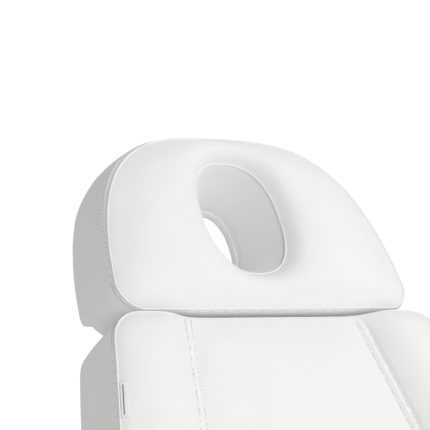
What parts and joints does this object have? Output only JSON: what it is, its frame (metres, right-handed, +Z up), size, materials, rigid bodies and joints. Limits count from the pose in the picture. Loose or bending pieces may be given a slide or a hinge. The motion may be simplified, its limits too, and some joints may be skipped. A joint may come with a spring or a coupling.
{
  "type": "facial treatment bed",
  "caption": "White upholstered facial treatment bed with a face-hole headrest, raised side bolsters, electric height, backrest and legrest, flip-up armrests and a wired handset.",
  "frame": {"origin": "on the floor under the centre of the whole bed's bounding box, in the pose drawn", "axes": "+X across the bed toward the side that carries the handset; +Y toward the head end; +Z up"},
  "size_m": [0.884, 1.4668, 1.3233],
  "materials": {
    "white_leather": "soft satin, fine grain",
    "white_frame_paint": "satin powder coat",
    "dark_frame_paint": "satin powder coat",
    "bright_steel": "bright zinc and ground steel",
    "plywood": "birch plywood, raw",
    "white_plastic": "moulded, fine texture",
    "grey_plastic": "moulded, fine texture",
    "black_plastic": "moulded and flexible PVC",
    "foot_rubber": "matt rubber",
    "tag_cloth": "woven tape, blank"
  },
  "bodies": {
    "base": {"base_frame": "dark_frame_paint", "base_cover": "white_plastic", "levelling_foot_foot_end_left": "foot_rubber", "levelling_foot_foot_end_right": "foot_rubber", "levelling_foot_head_end_left": "foot_rubber", "levelling_foot_head_end_right": "foot_rubber", "base_lower_pin": "bright_steel", "base_upper_pin": "bright_steel", "lift_actuator_base_pin": "bright_steel", "power_cable": "black_plastic"},
    "lower_arm": {"lower_lift_arm": "dark_frame_paint"},
    "upper_arm": {"upper_lift_arm": "dark_frame_paint"},
    "lift_drive": {"lift_actuator_housing": "grey_plastic"},
    "lift_ram": {"lift_actuator_rod": "bright_steel", "lift_actuator_rod_pin": "bright_steel"},
    "seat": {"seat_frame": "white_frame_paint", "seat_board": "plywood", "seat_cushion": "white_leather", "carriage_lower_pin": "bright_steel", "carriage_upper_pin": "bright_steel", "back_actuator_base_pin": "bright_steel", "leg_actuator_base_pin": "bright_steel", "control_box": "grey_plastic", "armrest_bracket_left": "white_frame_paint", "armrest_bracket_right": "white_frame_paint", "handset_body": "white_plastic", "handset_holder": "grey_plastic", "handset_cable": "black_plastic"},
    "back_drive": {"back_actuator_housing": "grey_plastic"},
    "back_ram": {"back_actuator_rod": "bright_steel", "back_actuator_rod_pin": "bright_steel"},
    "leg_drive": {"leg_actuator_housing": "grey_plastic"},
    "leg_ram": {"leg_actuator_rod": "bright_steel", "leg_actuator_rod_pin": "bright_steel"},
    "backrest": {"backrest_frame": "white_frame_paint", "backrest_board": "plywood", "backrest_cushion": "white_leather", "blank_tag": "tag_cloth", "back_hinge_pin_left": "bright_steel", "back_hinge_pin_right": "bright_steel"},
    "clamp_knob": {"headrest_clamp_knob": "black_plastic"},
    "headrest_carrier": {"headrest_bracket": "bright_steel"},
    "headrest": {"headrest_plate": "white_frame_paint", "headrest_board": "plywood", "headrest_cushion": "white_leather", "headrest_hinge_pin": "bright_steel"},
    "legrest": {"legrest_frame": "white_frame_paint", "legrest_board": "plywood", "legrest_cushion": "white_leather", "leg_hinge_pin_left": "bright_steel", "leg_hinge_pin_right": "bright_steel"},
    "footrest": {"footrest_slide": "bright_steel", "footrest_cushion": "white_leather"},
    "armrest_left": {"armrest_arm_left": "bright_steel", "armrest_pad_left": "white_leather"},
    "armrest_right": {"armrest_arm_right": "bright_steel", "armrest_pad_right": "white_leather"},
    "height_key": {"height_rocker": "grey_plastic"},
    "backrest_key": {"backrest_rocker": "grey_plastic"},
    "legrest_key": {"legrest_rocker": "grey_plastic"}
  },
  "joints": [
    {"name": "lift", "type": "hinge", "parent": "base", "child": "lower_arm", "pos_m": [0, 0.17508, 0.12], "axis": [-1, 0, 0], "range_deg": [0, 42]},
    {"name": "upper_arm_turn", "type": "hinge", "parent": "base", "child": "upper_arm", "pos_m": [0, 0.22988, 0.1914], "axis": [-1, 0, 0], "range_deg": [0, 42]},
    {"name": "seat_level", "type": "hinge", "parent": "lower_arm", "child": "seat", "pos_m": [0, -0.22437, 0.24979], "axis": [-1, 0, 0], "range_deg": [-42, 0]},
    {"name": "lift_drive_tilt", "type": "hinge", "parent": "base", "child": "lift_drive", "pos_m": [0, -0.34992, 0.11], "axis": [1, 0, 0], "range_deg": [-0.335, 0.02]},
    {"name": "lift_ram_stroke", "type": "slide", "parent": "lift_drive", "child": "lift_ram", "axis": [0, 0.971, 0.2391], "range_m": [-0.0001, 0.08587]},
    {"name": "backrest_recline", "type": "hinge", "parent": "seat", "child": "backrest", "pos_m": [0, 0.23008, 0.525], "axis": [1, 0, 0], "range_deg": [-62, 8]},
    {"name": "back_drive_tilt", "type": "hinge", "parent": "seat", "child": "back_drive", "pos_m": [0, -0.10492, 0.29], "axis": [1, 0, 0], "range_deg": [-4.67, 0.62]},
    {"name": "back_ram_stroke", "type": "slide", "parent": "back_drive", "child": "back_ram", "axis": [0, 0.9192, 0.3937], "range_m": [-0.10939, 0.0142]},
    {"name": "legrest_lift", "type": "hinge", "parent": "seat", "child": "legrest", "pos_m": [0, -0.26492, 0.42], "axis": [1, 0, 0], "range_deg": [-30, 10]},
    {"name": "leg_drive_tilt", "type": "hinge", "parent": "seat", "child": "leg_drive", "pos_m": [-0.105, 0.04508, 0.352], "axis": [1, 0, 0], "range_deg": [-0.72, 2.12]},
    {"name": "leg_ram_stroke", "type": "slide", "parent": "leg_drive", "child": "leg_ram", "axis": [0, -0.9967, 0.0806], "range_m": [-0.0083, 0.02471]},
    {"name": "headrest_slide", "type": "slide", "parent": "backrest", "child": "headrest_carrier", "axis": [0, 0.4695, 0.8829], "range_m": [0, 0.08]},
    {"name": "headrest_tilt", "type": "hinge", "parent": "headrest_carrier", "child": "headrest", "pos_m": [0, 0.6453, 1.04605], "axis": [1, 0, 0], "range_deg": [-35, 3]},
    {"name": "clamp_knob_turn", "type": "hinge", "parent": "backrest", "child": "clamp_knob", "pos_m": [0.09, 0.60123, 0.96189], "axis": [0, 0.8829, -0.4695], "range_deg": [0, 180]},
    {"name": "footrest_slide", "type": "slide", "parent": "legrest", "child": "footrest", "axis": [0, -0.866, -0.5], "range_m": [0, 0.11]},
    {"name": "armrest_left_flip", "type": "hinge", "parent": "seat", "child": "armrest_left", "pos_m": [-0.392, 0.13508, 0.69], "axis": [-1, 0, 0], "range_deg": [0, 100]},
    {"name": "armrest_right_flip", "type": "hinge", "parent": "seat", "child": "armrest_right", "pos_m": [0.392, 0.13508, 0.69], "axis": [-1, 0, 0], "range_deg": [0, 100]},
    {"name": "height_rocker_press", "type": "hinge", "parent": "seat", "child": "height_key", "pos_m": [0.3755, -0.10792, 0.4], "axis": [0, 1, 0], "range_deg": [-7, 7]},
    {"name": "backrest_rocker_press", "type": "hinge", "parent": "seat", "child": "backrest_key", "pos_m": [0.3755, -0.10792, 0.366], "axis": [0, 1, 0], "range_deg": [-7, 7]},
    {"name": "legrest_rocker_press", "type": "hinge", "parent": "seat", "child": "legrest_key", "pos_m": [0.3755, -0.10792, 0.332], "axis": [0, 1, 0], "range_deg": [-7, 7]}
  ],
  "couplings": [
    {"joint": "upper_arm_turn", "follows": "lift", "ratio": 1},
    {"joint": "seat_level", "follows": "lift", "ratio": -1},
    {"joint": "lift_drive_tilt", "follows": "lift", "ratio": -0.0075},
    {"joint": "lift_ram_stroke", "follows": "lift", "m_per_rad": 0.117},
    {"joint": "back_drive_tilt", "follows": "backrest_recline", "ratio": 0.075},
    {"joint": "back_ram_stroke", "follows": "backrest_recline", "m_per_rad": 0.101},
    {"joint": "leg_drive_tilt", "follows": "legrest_lift", "ratio": -0.07},
    {"joint": "leg_ram_stroke", "follows": "legrest_lift", "m_per_rad": -0.047}
  ]
}
